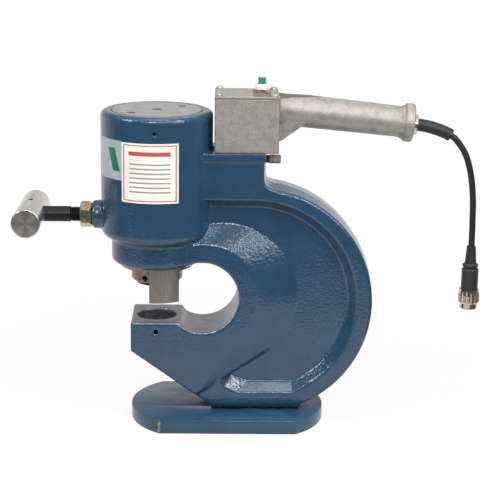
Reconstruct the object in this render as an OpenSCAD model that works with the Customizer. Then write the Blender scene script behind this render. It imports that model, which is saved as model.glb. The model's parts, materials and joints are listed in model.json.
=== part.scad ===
// Bench hydraulic punch: a cast C-frame on a base plate, a spring-return ram in the head,
// a T-handle on the left and a cast switch box with a grip, cord and plug on the right.
// Millimetres. The origin is the centre of the base plate's underside, +Z up, -Y the front.

/* [Base plate] */
// Length of the base plate
plate_l = 253; // [240:1:300]
// Width of the base plate
plate_w = 150; // [120:1:170]
// Thickness of the base plate
plate_t = 18; // [14:1:30]
// Radius of the plate's round ends
plate_end_r = 92; // [88:1:110]

/* [C-frame] */
// Depth of the throat behind the punch axis
throat_depth = 106; // [104:1:115]
// Radius of the round throat
throat_r = 46.7; // [44:0.1:48]
// Height of the lower jaw's top face above the bench
jaw_top = 139; // [134:1:142]
// Height of the work gap between jaw and head
gap_h = 72.5; // [68:0.5:76]
// How far the throat dips below the jaw's top face
throat_dip = 13.2; // [12:0.1:15]
// Width of the jaw and of the ring round the throat
jaw_w = 86; // [80:1:92]
// Height of the jaw's nose
nose_h = 38.4; // [36:0.2:50]
// Distance from the punch axis to the end of the nose
nose_l = 32.5; // [30:0.5:40]
// Radius of the frame's back
rim_r = 151; // [149:0.5:153]
// Width of the frame's rim, shelf and foot
rim_w = 76; // [70:1:80]
// Rounding of the rim's outer edges
rim_round = 4; // [3:0.5:8]
// Radial thickness of the rim round the side pockets
rim_t = 17; // [14:0.5:20]
// Thickness of the web between the side pockets
web_t = 48; // [40:1:56]
// Slope of the pocket walls, measured across the web
draft = 10.5; // [8:0.5:12]
// Width of the raised ring round the throat
ring_w = 24.3; // [22:0.1:30]
// Height of the shelf that carries the switch box above the rim
shelf_rise = 44.5; // [40:0.5:50]
// Radius of the hollow between the shelf's end and the rim
shelf_fillet = 14; // [8:1:18]

/* [Head] */
// Outside radius of the cylinder
head_r = 71.5; // [70:0.5:76]
// Height of the head's top above the shelf
head_over = 49.5; // [46:0.5:60]
// Radius of the collar under the cylinder
collar_r = 58.4; // [56:0.2:62]
// Height of the collar
collar_h = 47; // [40:1:48]
// Rounding of the head's top edge
head_round = 7; // [4:0.5:8]
// Rounding of the collar's lower edge
collar_round = 8.5; // [6:0.5:10]
// Radius of the cylinder's bore
bore_r = 48; // [46:0.5:50]
// Length of the bore under the cap
bore_l = 117.5; // [112:0.5:118]
// Radius of the side boss for the T-handle
boss_r = 18.4; // [17:0.1:22]
// Height of the T-handle above the head's lower face
boss_h = 60.6; // [58:0.2:80]

/* [Ram] */
// Radius of the ram's rod
rod_r = 33; // [30:0.5:34]
// Working stroke
stroke = 25; // [15:1:28]
// How far the rod stands below the head at rest
rod_out = 23.5; // [22:0.5:30]
// Thickness of the piston
piston_t = 30; // [26:1:32]
// Height of the oil space over the piston at rest
oil_gap = 15; // [12:0.5:18]
// Radius of the punch socket
socket_r = 16; // [12:0.5:18]
// Depth of the punch socket
socket_l = 22; // [16:1:24]
// Wire radius of the return spring
spring_wire_r = 4.5; // [3:0.25:5]
// Mean radius of the return spring
spring_r = 40.5; // [39.5:0.25:41]
// Working turns of the return spring
spring_turns = 4; // [3:0.5:4.5]

/* [Die] */
// Radius of the die seat in the jaw
die_r = 25.5; // [20:0.5:28]
// Depth of the die seat
die_l = 30; // [24:1:36]
// Radius of the slug hole under the die
slug_r = 15; // [12:0.5:18]

/* [Cap and stripper] */
// Radius of the cylinder cap
cap_r = 56.5; // [55:0.5:60]
// Thickness of the cylinder cap
cap_t = 30; // [26:1:32]
// Radius of the lifting-eye hole
eye_r = 6; // [4:0.5:8]
// Radius of the pin-spanner holes
spanner_r = 5.5; // [4:0.5:6]
// Radius of the stripper ring
stripper_r = 47; // [46:0.5:50]
// Thickness of the stripper ring
stripper_t = 4.2; // [3:0.2:6]
// Radial thickness of the stripper leg
leg_t = 10; // [8:0.5:10]
// Length of the stripper leg under its ring
leg_l = 41; // [30:1:45]
// Angle that the leg spans
leg_span = 49; // [30:1:60]

/* [T-handle] */
// Radius of the threaded bar
bar_r = 10; // [8:0.5:11]
// Width across the lock nut's flats
nut_af = 30; // [28:1:34]
// Thickness of the lock nut
nut_t = 14.2; // [12:0.2:18]
// Free length of the bar from lock nut to grip axis
bar_out = 64; // [50:1:80]
// Radius of the cross grip
grip_r = 18.4; // [15:0.1:20]
// Length of the cross grip
grip_l = 117; // [90:1:130]

/* [Switch box] */
// Length of the box
box_l = 81.2; // [78:0.2:90]
// Width of the box
box_w = 72; // [66:1:74]
// Height of the box
box_h = 69.5; // [66:0.5:78]
// Wall thickness of the box
box_wall = 4; // [3:0.5:5]
// Thickness of the lid
lid_t = 2.5; // [2:0.1:4]
// Distance from the punch axis to the box
box_gap = 73.4; // [73:0.2:76]
// Radius of the lid screws' heads
lid_head_r = 4.5; // [3.5:0.1:5]
// Distance of the lid screws from the box's edges
lid_inset = 5.8; // [5.6:0.1:7]

/* [Push button] */
// Distance of the push button from the punch axis
switch_out = 132.8; // [128:0.2:136]
// Radius of the push button
button_r = 4.9; // [4:0.1:5.2]
// Travel of the push button
button_travel = 2; // [1:0.1:2.5]

/* [Grip] */
// Radius of the grip at the box
handle_r = 21.2; // [18:0.1:22]
// Radius of the grip at its far end
handle_tip_r = 19.7; // [17:0.1:22]
// Length of the grip from box to flange
handle_l = 160; // [130:1:200]
// Downward tilt of the grip
handle_tilt = 5.7; // [3:0.1:8]
// Height of the grip's root above the shelf
handle_h = 52.6; // [50:0.2:54]
// Radius of the end flange
flange_r = 24.5; // [22:0.1:28]
// Thickness of the end flange
flange_t = 12.3; // [8:0.1:16]

/* [Cord and plug] */
// Radius of the cord
cord_r = 4.1; // [3:0.1:4.5]
// Radius of the rubber sleeve
sleeve_r = 8; // [7:0.1:9]
// Radius of the plug's body
plug_r = 11; // [10:0.1:12]
// Radius of the plug's coupling ring
coupling_r = 13.75; // [13.4:0.05:15]

/* [Hidden] */
$fn = 96;
hull_fn = 32;
far = 400;
eps = 0.02;

running = 0.05;   // radial clearance of a part that slides in its guide
clear = 0.3;      // clearance between faces that pass without touching
loose = 0.3;      // radial clearance of a bolt in its hole
joint_gap = 0.25; // visible gap round a screwed-in part

// Frame: places along X and Z that the pieces share
head_x = -93;
throat_x = head_x + throat_depth - throat_r;
throat_z = jaw_top - throat_dip + throat_r;
collar_z = jaw_top + gap_h;
rim_x = 34.5;
rim_sink = 4.5;
rim_z = plate_t + rim_r - rim_sink;
shelf_z = rim_z + rim_r + shelf_rise;
head_top = shelf_z + head_over;
head_h = head_top - collar_z;
joint_out = 2;    // how far the mould's joint line stands proud of the rim's faces
shelf_out = 3.5;  // and of the shelf's end
nose_x = head_x - nose_l;
nose_z = jaw_top - nose_h;
foot_x = -21.6;
foot_step = 7.4;
foot_l = 117;
foot_round = 16;
foot_h = 24;
shelf_x = 43.5;
lip_h = 9.6;
lip_out = 2;
lip_end = 1.2;
neck_fillet = 10;
shoulder_fillet = 4;
throat_lip = 5;   // how far the jaw's top runs on into the round throat
lip_run = 10.7;
pocket_x = rim_x - 3;
pocket_z = rim_z + 2.5;
pocket_r = rim_r - rim_t;
pocket_floor_z = plate_t + 25.5;
floor_slope = 1.1;
pocket_left = head_x + 30;
tail_steps = [[33, 0], [17, 7.5], [-20, 60]];
pocket_tail = [for (step = tail_steps) [foot_x, pocket_floor_z] + step];
tail_slope = [1.6, 1, 1];
ring_r = throat_r + ring_w;
flank_r = 95;
flank_dx = 28.7;
flank_tip = [foot_x - 29, plate_t + 29];
ring_steps = [[7.6, -47], [2.6, -63], [-20, -98]];
ring_tail = [for (step = ring_steps) [foot_x, jaw_top] + step];

// Screws that hold the foot to the base plate
foot_screw_r = 5;
foot_screw_head_r = 8;
foot_screw_head_t = 10;
foot_screw_hex_l = 6;
foot_screw_sink = 11;
foot_screw_grip = 16;
foot_screw_in = 26;
foot_screw_rows = [foot_x + foot_screw_in, foot_x + foot_l - foot_screw_in];
foot_screw_y = rim_w / 4;

// Cylinder: heights from the cap down
cap_floor = head_top - cap_t;
piston_top = cap_floor - oil_gap;
piston_z = piston_top - piston_t;
bore_z = cap_floor - bore_l;
rod_z = collar_z - rod_out;
seal_h = 8;
seal_d = 5.5;
wear_h = 4;
wear_d = 2.4;
bush_t = 4;
bush_z = collar_z + 10.5;
bush_top = bore_z - 4;
wiper_h = 9;
wiper_lip = 1.2;
spigot_r = 30;
cap_seal_r = 1.4;
cap_seal_at = (bore_r + cap_r) / 2;
spanner_at = 41.2;
spanner_angle = 41;
eye_l = 20;
set_r = 2.5;
cap_set_z = head_top - 19.3;
port_r = 8.3;
port_l = 14;
port_z = cap_floor - 8;
port_boss_r = 15;
port_face = head_r + 4;
oilway_r = 3.5;

// Stripper, punch socket and die seat
strip_screw_r = 2.5;
strip_head_r = 4.3;
strip_head_t = 2.2;
strip_screw_l = 14;
strip_screw_at = 41;
strip_first = 60;
leg_from = -100;
retainer_r = 26.8;
retainer_t = 4;
punch_screw_r = 4;
punch_screw_at = -26;
punch_screw_z = rod_z + 6.5;
die_screw_r = 3;
die_screw_l = 12;
die_screw_z = jaw_top - 12.4;
hex_share = 0.55;

// T-handle
boss_z = collar_z + boss_h;
boss_out = 12.4;
boss_x = head_x - head_r - boss_out;
boss_round = 6;
thread_r = bar_r - 0.4;
thread_out = 12;
bar_thread_end = boss_x - nut_t - thread_out;
grip_x = boss_x - nut_t - bar_out;
bar_in = 22;
grip_screw_r = 3;

// Switch box
box_x = head_x + box_gap;
box_end = box_x + box_l;
box_top = shelf_z + box_h;
box_floor_t = 5;
post_r = 5.2;
lid_top = box_top + lid_t;
lid_head_t = 3;
lid_screw_r = 2;
lid_screw_l = 14;
box_bolt_r = 4;
box_bolt_l = 22;
box_bolt_af = 13;
box_bolt_head_t = 5.3;
box_bolt_in = 14;
box_bolt_at = [box_x + box_bolt_in, shelf_x - box_bolt_in];
box_bolt_y = box_w / 4;
earth_x = shelf_x + shelf_out - 0.6;
earth_z = shelf_z - 13;
earth_r = 3;
earth_grip = 14;
earth_nut_af = 10;
earth_nut_l = 15.5;
earth_washer_r = 5;
earth_washer_t = 3.6;

// Push button
switch_x = head_x + switch_out;
switch_y = -3;
barrel_r = 8;
gasket_t = 0.8;
gasket_l = 22;
gasket_w = 60;
switch_nut_af = 18;
switch_nut_t = 4.4;
boot_z = lid_top + gasket_t + switch_nut_t;
boot_h = 16;
boot_r = 8.5;
boot_tip_r = 6;
boot_wall = 0.8;
block_w = 24;
block_h = 24;

// Grip and cable sleeve
handle_z = shelf_z + handle_h;
cable_way_r = 7;
gland_r = 13.2;
gland_t = 5;
gland_drop = 1.5;
sleeve_bend_r = 120;
sleeve_bend = 22;
sleeve_from = grip_point(handle_l + flange_t + gland_t, gland_drop);
sleeve_end = sleeve_from + sleeve_bend_r * [sin(handle_tilt + sleeve_bend) - sin(handle_tilt),
                                            cos(handle_tilt + sleeve_bend) - cos(handle_tilt)];
rib_w = 34;
rib_l = 31;
rib_h = 40;
rib_end_h = 19;

// Cord: its route from the sleeve's end to the plug, at y = 0
CORD = [for (step = [[0, 0], [6.3, -4.8], [14.8, -15.3], [20.8, -25.6], [25.3, -38], [29.3, -54.3],
                     [31.8, -71.3], [33.3, -88.3], [33.8, -105.3], [34.3, -125.3], [34.3, -146]])
  sleeve_end + step];
cord_sides = 10;

// Plug, hanging from the cord's end
plug_x = CORD[len(CORD) - 1][0];
plug_top = CORD[len(CORD) - 1][1];
shrink_l = 22.5;
shrink_top_r = 5.8;
shrink_r = 7.5;
body_top = plug_top - 29.5;
body_l = 26.5;
ring_top = body_top - body_l;
ring_l = 26.7;
skirt_l = 7.8;
skirt_r = 11.3;
flutes = 16;
flute_r = 2.4;
mouth_r = 9.2;
insert_r = 7.6;
insert_l = 15;
insert_lip = 1.2;
ring_web = 4;
pin_r = 0.8;
pin_l = 8;
pin_at = 4.6;
pins = 5;

// ---- shared shapes ----

// A flat outline in X and Z, thickened evenly about the middle plane
module slab(width) {
  rotate([90, 0, 0]) linear_extrude(width, center = true) children();
}

// A round bar that runs along +X from x, at height z
module bar_x(x, z, r, l, y = 0) {
  translate([x, y, z]) rotate([0, 90, 0]) cylinder(r = r, h = l);
}

// A bar whose axis leaves the point [x, y] at an angle in plan; 0 is +X
module radial_bar(x, z, angle, from, to, r) {
  translate([x, 0, z]) rotate([0, 0, angle]) translate([from, 0, 0])
    rotate([0, 90, 0]) cylinder(r = r, h = to - from);
}

// A plain tube of a revolved part
module tube(r_in, r_out, z, h) {
  translate([0, 0, z]) difference() {
    cylinder(r = r_out, h = h);
    translate([0, 0, -eps]) cylinder(r = r_in, h = h + 2 * eps);
  }
}

// A rectangle from the axis to r with one rounded outer corner
module edge_profile(r, z, h, top_round = 0, bottom_round = 0) {
  difference() {
    translate([0, z]) square([r, h]);
    if (top_round > 0) corner(r, z + h, top_round, 1);
    if (bottom_round > 0) corner(r, z, bottom_round, -1);
  }
}

module corner(r, z, round, side) {
  difference() {
    translate([r - round, side > 0 ? z - round : z - eps]) square([round + eps, round + eps]);
    translate([r - round, z - side * round]) circle(round);
  }
}

// A hexagon nut or head along +Z with chamfered corners
module hex(af, h, chamfer = 1) {
  corner_r = af / 2 / cos(30);
  intersection() {
    cylinder(r = corner_r, h = h, $fn = 6);
    cylinder(r1 = corner_r - chamfer, r2 = corner_r - chamfer + h, h = h);
    cylinder(r1 = corner_r - chamfer + h, r2 = corner_r - chamfer, h = h);
  }
}

// A hexagon-socket set screw along +Z
module set_screw(r, l) {
  difference() {
    cylinder(r = r, h = l);
    translate([0, 0, l - r]) cylinder(r = r * hex_share, h = r + eps, $fn = 6);
  }
}

// A tube swept along a list of points; ref is any direction that the route never takes
function unit(v) = v / norm(v);
function heading(p, i) =
  unit(p[min(i + 1, len(p) - 1)] - p[max(i - 1, 0)]);
function ring_at(p, i, r, sides, ref) =
  let (t = heading(p, i), a = unit(cross(t, ref)), b = cross(a, t))
  [for (k = [0:sides - 1]) p[i] + r * (cos(360 * k / sides) * a + sin(360 * k / sides) * b)];

module swept_tube(p, r, sides, ref) {
  n = len(p);
  rings = [for (i = [0:n - 1]) each ring_at(p, i, r, sides, ref)];
  walls = [for (i = [0:n - 2], k = [0:sides - 1])
    [i * sides + k, i * sides + (k + 1) % sides, (i + 1) * sides + (k + 1) % sides,
     (i + 1) * sides + k]];
  start = [for (k = [sides - 1:-1:0]) k];
  end = [for (k = [0:sides - 1]) (n - 1) * sides + k];
  polyhedron(rings, concat(walls, [start, end]));
}

// ---- C-frame ----

// The lower jaw's underside and the space left of the foot
module under_jaw_2d() {
  polygon([[nose_x - far, -far], [nose_x - far, nose_z], [nose_x, nose_z],
           [foot_x, plate_t + foot_step], [foot_x, -far]]);
}

// The throat and the work gap in front of it
module throat_2d() {
  difference() {
    translate([throat_x, throat_z]) circle(throat_r);
    throat_lip_2d();
  }
  translate([throat_x - far, jaw_top]) square([far - throat_r / 3, gap_h]);
}

// The corner that the jaw's top keeps where it runs out over the round throat
module throat_lip_2d() {
  depth = throat_z - jaw_top;
  x = throat_x - sqrt(throat_r * throat_r - depth * depth);
  run = throat_x - x - lip_run;
  polygon([[x - 1, jaw_top], [x + throat_lip, jaw_top],
           [x + lip_run, throat_z - sqrt(throat_r * throat_r - run * run) - eps],
           [x - 1, jaw_top - throat_dip]]);
}

// The rim: a disc that swells to the mould's joint line, with rounded edges
module rim_disc() {
  half = rim_w / 2;
  edge_r = rim_r + joint_out * rim_round / half;
  translate([rim_x, 0, rim_z]) rotate([90, 0, 0]) rotate_extrude() difference() {
    polygon([[0, -half], [rim_r, -half], [rim_r + joint_out, 0], [rim_r, half], [0, half]]);
    for (side = [-1, 1]) corner(edge_r, side * half, rim_round, side);
  }
}

// Centre of the hollow's round where the shelf's end stands at x over a rim of radius r
function hollow_at(x, r) = [x + shelf_fillet,
  rim_z + sqrt(pow(r + shelf_fillet, 2) - pow(x + shelf_fillet - rim_x, 2))];

// One layer of the cutter that leaves the shelf's end and its hollow above the rim
module hollow_2d(at) {
  run = unit(at - [rim_x, rim_z]);
  translate(at) {
    circle(shelf_fillet, $fn = 2 * hull_fn);
    polygon([[-shelf_fillet, 0], [-shelf_fillet, far / 4], [far / 4, far / 4],
             shelf_fillet * (2 * [run[1], -run[0]] - run), -shelf_fillet * run]);
  }
}

// The shelf with its proud lip and the neck to the head; its end swells to the joint line
module shelf() {
  half = rim_w / 2;
  middle = hollow_at(shelf_x + shelf_out, rim_r + joint_out);
  difference() {
    slab(rim_w) {
      translate([head_x, collar_z]) square([shelf_x + shelf_out - head_x, shelf_z - collar_z]);
      polygon([[rim_x, rim_z], middle, middle - [2 * shelf_fillet, 0]]);
    }
    for (s = [-1, 1]) hull() {
      slab(eps) hollow_2d(middle);
      translate([0, s * (half + eps), 0]) slab(eps) hollow_2d(hollow_at(shelf_x, rim_r));
    }
  }
  translate([0, 0, shelf_z - lip_h]) linear_extrude(lip_h)
    polygon([[head_x, -half - lip_out], [shelf_x + lip_end, -half - lip_out],
             [shelf_x + shelf_out + lip_end, 0], [shelf_x + lip_end, half + lip_out],
             [head_x, half + lip_out]]);
}

// The round where the shelf's faces run into the cylinder
module neck_fillets() {
  y = rim_w / 2 + neck_fillet;
  x = sqrt(pow(head_r + neck_fillet, 2) - y * y);
  translate([head_x, 0, collar_z + collar_h]) linear_extrude(shelf_z - collar_z - collar_h - 1)
    for (s = [-1, 1]) difference() {
      polygon([[0, 0], [x, 0], [x, s * y]]);
      translate([x, s * y]) circle(neck_fillet);
    }
}

// The foot, and the cutters that round the frame's lower edges along it
module foot() {
  translate([foot_x, -rim_w / 2, plate_t]) cube([foot_l, rim_w, foot_h]);
}

module foot_rounds() {
  translate([foot_x - foot_h, 0, plate_t]) rotate([90, 0, 90]) linear_extrude(foot_l + 2 * foot_h)
    for (s = [0, 1]) mirror([s, 0]) corner(rim_w / 2, 0, foot_round, -1);
}

// One side pocket: wide at the rim's face, narrower at the web, with a straight top and foot
module pocket_2d(shrink) {
  top = pocket_z + pocket_r - shrink;
  tail = [for (i = [0:2]) pocket_tail[i] + shrink * [tail_slope[i], floor_slope]];
  intersection() {
    translate([pocket_x, pocket_z]) circle(pocket_r - shrink, $fn = 2 * hull_fn);
    polygon([[far, tail[0][1]], each tail, [pocket_left, pocket_z], [pocket_left, top],
             [far, top]]);
  }
  translate([pocket_left, pocket_z]) square([pocket_x - pocket_left, top - pocket_z]);
}

module side_pocket() {
  hull() {
    translate([0, -rim_w / 2 - neck_fillet, 0]) slab(2 * neck_fillet) pocket_2d(0);
    translate([0, -web_t / 2, 0]) slab(eps) pocket_2d(draft);
  }
}

// The raised ring round the throat, which flares into the web and runs on into the jaw
module throat_ring() {
  hull() {
    slab(jaw_w) {
      translate([throat_x, throat_z]) circle(ring_r, $fn = 2 * hull_fn);
      polygon([each ring_tail, [nose_x, nose_z], [nose_x, jaw_top]]);
    }
    slab(web_t) {
      translate([throat_x + flank_dx, throat_z]) circle(flank_r, $fn = 2 * hull_fn);
      polygon([flank_tip, [nose_x, nose_z], [nose_x, jaw_top]]);
    }
  }
}

// The cylinder with its shoulder and collar
module head() {
  shoulder = head_r - collar_r;
  under = collar_z + collar_h - shoulder;
  translate([head_x, 0, 0]) rotate_extrude() {
    edge_profile(head_r, under, head_h - collar_h + shoulder, head_round, shoulder - 1);
    edge_profile(collar_r, collar_z, collar_h, 0, collar_round);
    translate([collar_r, under - shoulder_fillet]) difference() {
      square([shoulder_fillet, shoulder_fillet + 0.5]);
      translate([shoulder_fillet, 0]) circle(shoulder_fillet);
    }
  }
}

// The round boss that the T-handle screws into
module boss() {
  translate([boss_x, 0, boss_z]) rotate([0, 90, 0]) rotate_extrude()
    edge_profile(boss_r, 0, head_x - bore_r - 4 - boss_x, 0, boss_round);
}

// The oil port's boss at the back of the head
module port_boss() {
  translate([head_x, port_face, port_z]) rotate([90, 0, 0])
    cylinder(r = port_boss_r, h = port_face - bore_r - 6);
}

module frame_solid() {
  difference() {
    union() {
      difference() {
        union() {
          rim_disc();
          shelf();
          neck_fillets();
        }
        side_pocket();
        mirror([0, 1, 0]) side_pocket();
      }
      throat_ring();
      foot();
    }
    slab(2 * far) {
      throat_2d();
      under_jaw_2d();
    }
    foot_rounds();
    translate([-far, -far, plate_t - far]) cube([2 * far, 2 * far, far]);
  }
  head();
  boss();
  port_boss();
}

module frame_casting() {
  color([0.16, 0.29, 0.42]) difference() {
    frame_solid();
    // cylinder: cap seat, bore, rod way and bush seat
    translate([head_x, 0, 0]) {
      translate([0, 0, cap_floor]) cylinder(r = cap_r + joint_gap, h = cap_t + eps);
      translate([0, 0, bore_z]) cylinder(r = bore_r, h = cap_floor - bore_z + eps);
      translate([0, 0, bush_top - eps]) cylinder(r = rod_r + 1, h = bore_z - bush_top + 2 * eps);
      translate([0, 0, collar_z - eps]) cylinder(r = rod_r + bush_t, h = bush_top - collar_z + eps);
      for (k = [0:3]) rotate([0, 0, strip_first - 90 + 90 * k])
        translate([strip_screw_at, 0, collar_z - eps])
          cylinder(r = strip_screw_r, h = strip_screw_l - stripper_t + 1);
    }
    radial_bar(head_x, cap_set_z, -90, cap_r - 3, head_r + 1, set_r);
    // oil port and oil way
    radial_bar(head_x, port_z, 90, port_face - port_l, port_face + 1, port_r);
    radial_bar(head_x, port_z, 90, bore_r - 2, port_face - 1, oilway_r);
    // T-handle's thread
    bar_x(boss_x - eps, boss_z, thread_r, bar_in + eps);
    // die seat, slug hole and die screw
    translate([head_x, 0, jaw_top - die_l]) cylinder(r = die_r, h = die_l + eps);
    translate([head_x, 0, 0]) cylinder(r = slug_r, h = jaw_top);
    radial_bar(head_x, die_screw_z, -90, die_r - 1, jaw_w / 2 + 1, die_screw_r);
    // foot screws, box bolts and earth stud
    at_foot_screws() cylinder(r = foot_screw_r, h = plate_t + foot_screw_grip + 2);
    at_box_bolts() translate([0, 0, shelf_z - box_bolt_l + box_floor_t - 2])
      cylinder(r = box_bolt_r, h = box_bolt_l);
    bar_x(earth_x - earth_grip, earth_z, earth_r, earth_grip + eps);
    bar_x(earth_x, earth_z, earth_washer_r + clear, shelf_fillet);
  }
}

// ---- base plate ----

module at_foot_screws() {
  for (x = foot_screw_rows, y = [-foot_screw_y, foot_screw_y]) translate([x, y, 0]) children();
}

module base_plate() {
  color([0.16, 0.29, 0.42]) difference() {
    linear_extrude(plate_t) intersection() {
      square([plate_l, plate_w], center = true);
      union() {
        flat = plate_l / 2 - plate_end_r;
        reach = flat + sqrt(plate_end_r * plate_end_r - plate_w * plate_w / 4);
        square([2 * reach, plate_w], center = true);
        for (s = [-1, 1]) translate([s * flat, 0]) circle(plate_end_r);
      }
    }
    at_foot_screws() {
      translate([0, 0, -eps]) cylinder(r = foot_screw_r + loose, h = plate_t + 1);
      translate([0, 0, -eps]) cylinder(r = foot_screw_head_r + loose, h = foot_screw_sink + eps);
    }
  }
}

module foot_screws() {
  color([0.2, 0.2, 0.2]) at_foot_screws() difference() {
    union() {
      translate([0, 0, foot_screw_sink - foot_screw_head_t])
        cylinder(r = foot_screw_head_r, h = foot_screw_head_t);
      cylinder_from(foot_screw_sink - 1, plate_t + foot_screw_grip, foot_screw_r);
    }
    translate([0, 0, foot_screw_sink - foot_screw_head_t - eps])
      cylinder(r = foot_screw_r * 0.92, h = foot_screw_hex_l, $fn = 6);
  }
}

module cylinder_from(z0, z1, r) {
  translate([0, 0, z0]) cylinder(r = r, h = z1 - z0);
}

// ---- cylinder ----

module cylinder_cap() {
  color([0.58, 0.58, 0.57]) translate([head_x, 0, 0]) difference() {
    union() {
      cylinder_from(cap_floor, head_top, cap_r);
      cylinder_from(piston_top + clear, cap_floor + 1, spigot_r);
    }
    cylinder_from(head_top - eye_l, head_top + 1, eye_r);
    for (s = [0, 180]) rotate([0, 0, spanner_angle + s])
      translate([spanner_at, 0, head_top - 12]) cylinder(r = spanner_r, h = 13);
    translate([0, 0, cap_floor]) rotate_extrude()
      translate([cap_seal_at - 2, -eps]) square([4, 2 * cap_seal_r + eps]);
    rotate([0, 0, -90]) translate([cap_r - 3, 0, cap_set_z]) rotate([0, 90, 0])
      cylinder(r = set_r, h = 5);
  }
}

module cap_seal() {
  color([0.06, 0.06, 0.06]) translate([head_x, 0, cap_floor + cap_seal_r]) rotate_extrude()
    translate([cap_seal_at, 0]) circle(cap_seal_r);
}

module cap_set_screw() {
  color([0.2, 0.2, 0.2]) translate([head_x, 0, cap_set_z]) rotate([0, 0, -90])
    translate([cap_r - 3, 0, 0]) rotate([0, 90, 0]) set_screw(set_r, 12);
}

module ram() {
  color([0.72, 0.72, 0.7]) translate([head_x, 0, 0]) difference() {
    union() {
      cylinder_from(piston_z, piston_top, bore_r - running);
      rotate_extrude() {
        difference() {
          translate([0, rod_z]) square([rod_r, piston_z - rod_z + 1]);
          polygon([[rod_r - 2, rod_z - eps], [rod_r + eps, rod_z - eps], [rod_r + eps, rod_z + 2]]);
        }
      }
    }
    tube(bore_r - seal_d, bore_r + 1, piston_top - 8 - seal_h, seal_h);
    tube(bore_r - wear_d, bore_r + 1, piston_z + 5, wear_h);
    cylinder_from(rod_z - 1, rod_z + socket_l, socket_r);
    rotate([0, 0, punch_screw_at - 90]) translate([socket_r - 1, 0, punch_screw_z])
      rotate([0, 90, 0]) cylinder(r = punch_screw_r, h = rod_r);
  }
}

module piston_seal() {
  color([0.1, 0.2, 0.5]) translate([head_x, 0, 0])
    tube(bore_r - seal_d, bore_r - running, piston_top - 8 - seal_h, seal_h);
}

module wear_ring() {
  color([0.5, 0.35, 0.15]) translate([head_x, 0, 0])
    tube(bore_r - wear_d, bore_r - running, piston_z + 5, wear_h);
}

// Round-wire spring with its end coils closed onto their seats
module return_spring() {
  low = bore_z + spring_wire_r;
  high = piston_z - spring_wire_r;
  per_turn = 14;
  steps = round(per_turn * (spring_turns + 1.5));
  rest = per_turn * 0.75;
  route = [for (i = [0:steps])
    let (s = min(max((i - rest) / (steps - 2 * rest), 0), 1))
    [head_x + spring_r * cos(360 * i / per_turn), spring_r * sin(360 * i / per_turn),
     low + (high - low) * s]];
  color([0.3, 0.3, 0.32]) swept_tube(route, spring_wire_r, 8, [0, 0, 1]);
}

module guide_bush() {
  color([0.7, 0.5, 0.25]) translate([head_x, 0, 0])
    tube(rod_r + running, rod_r + bush_t, bush_z, bush_top - bush_z);
}

module wiper() {
  color([0.1, 0.1, 0.1]) translate([head_x, 0, 0]) rotate_extrude() difference() {
    translate([rod_r + clear, bush_z - wiper_h]) square([bush_t - clear, wiper_h]);
    polygon([[rod_r + clear + wiper_lip, bush_z - wiper_h - eps],
             [rod_r + bush_t - 1, bush_z - wiper_h - eps],
             [rod_r + clear + wiper_lip, bush_z - wiper_h + 4]]);
  }
}

module stripper() {
  color([0.5, 0.33, 0.27]) translate([head_x, 0, 0]) difference() {
    union() {
      tube(rod_r + 1.2, stripper_r, collar_z - stripper_t, stripper_t);
      rotate([0, 0, leg_from]) translate([0, 0, collar_z - stripper_t - leg_l])
        rotate_extrude(angle = leg_span)
          translate([stripper_r - leg_t, 0]) square([leg_t, leg_l + stripper_t - 1]);
    }
    for (k = [0:3]) rotate([0, 0, strip_first - 90 + 90 * k])
      translate([strip_screw_at, 0, collar_z - stripper_t]) {
        translate([0, 0, -eps]) cylinder(r = strip_screw_r + loose, h = stripper_t + 1);
        translate([0, 0, -eps])
          cylinder(r1 = strip_head_r + loose, r2 = strip_screw_r + loose, h = strip_head_t + eps);
      }
  }
}

module stripper_screws() {
  color([0.25, 0.25, 0.25]) translate([head_x, 0, 0])
    for (k = [0:3]) rotate([0, 0, strip_first - 90 + 90 * k])
      translate([strip_screw_at, 0, collar_z - stripper_t]) difference() {
        union() {
          cylinder(r1 = strip_head_r, r2 = strip_screw_r, h = strip_head_t);
          cylinder(r = strip_screw_r, h = strip_screw_l);
        }
        translate([0, 0, -eps]) cylinder(r = strip_screw_r * 0.6, h = 1.8, $fn = 6);
      }
}

module punch_retainer() {
  color([0.12, 0.12, 0.13]) translate([head_x, 0, 0])
    tube(socket_r + clear, retainer_r, rod_z - retainer_t, retainer_t);
}

module punch_set_screw() {
  color([0.2, 0.2, 0.2]) translate([head_x, 0, punch_screw_z])
    rotate([0, 0, punch_screw_at - 90]) translate([socket_r + 0.5, 0, 0]) rotate([0, 90, 0])
      set_screw(punch_screw_r, rod_r - socket_r - 2.5);
}

module die_set_screw() {
  color([0.2, 0.2, 0.2]) translate([head_x, 0, die_screw_z])
    rotate([0, 0, -90]) translate([die_r + 0.5, 0, 0]) rotate([0, 90, 0])
      set_screw(die_screw_r, die_screw_l);
}

// ---- T-handle ----

module t_bar() {
  color([0.1, 0.1, 0.1]) {
    bar_x(bar_thread_end, boss_z, thread_r, boss_x + bar_in - 2 - bar_thread_end);
    bar_x(grip_x, boss_z, bar_r, bar_thread_end - grip_x);
  }
}

module t_grip() {
  color([0.6, 0.59, 0.56]) difference() {
    translate([grip_x, 0, boss_z]) rotate([90, 0, 0]) rotate_extrude()
      edge_profile(grip_r, -grip_l / 2, grip_l, 1.5, 1.5);
    bar_x(grip_x, boss_z, bar_r, grip_r + 1);
    translate([grip_x, 0, boss_z]) cylinder(r = grip_screw_r, h = grip_r + 1);
  }
}

module grip_screw() {
  color([0.2, 0.2, 0.2]) translate([grip_x, 0, boss_z + bar_r])
    set_screw(grip_screw_r, grip_r - bar_r - 2.5);
}

module lock_nut() {
  color([0.68, 0.6, 0.32]) difference() {
    translate([boss_x - nut_t, 0, boss_z]) rotate([0, 90, 0]) hex(nut_af, nut_t, 2);
    bar_x(boss_x - nut_t - 1, boss_z, thread_r, nut_t + 2);
  }
}

// ---- switch box and grip ----

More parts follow.
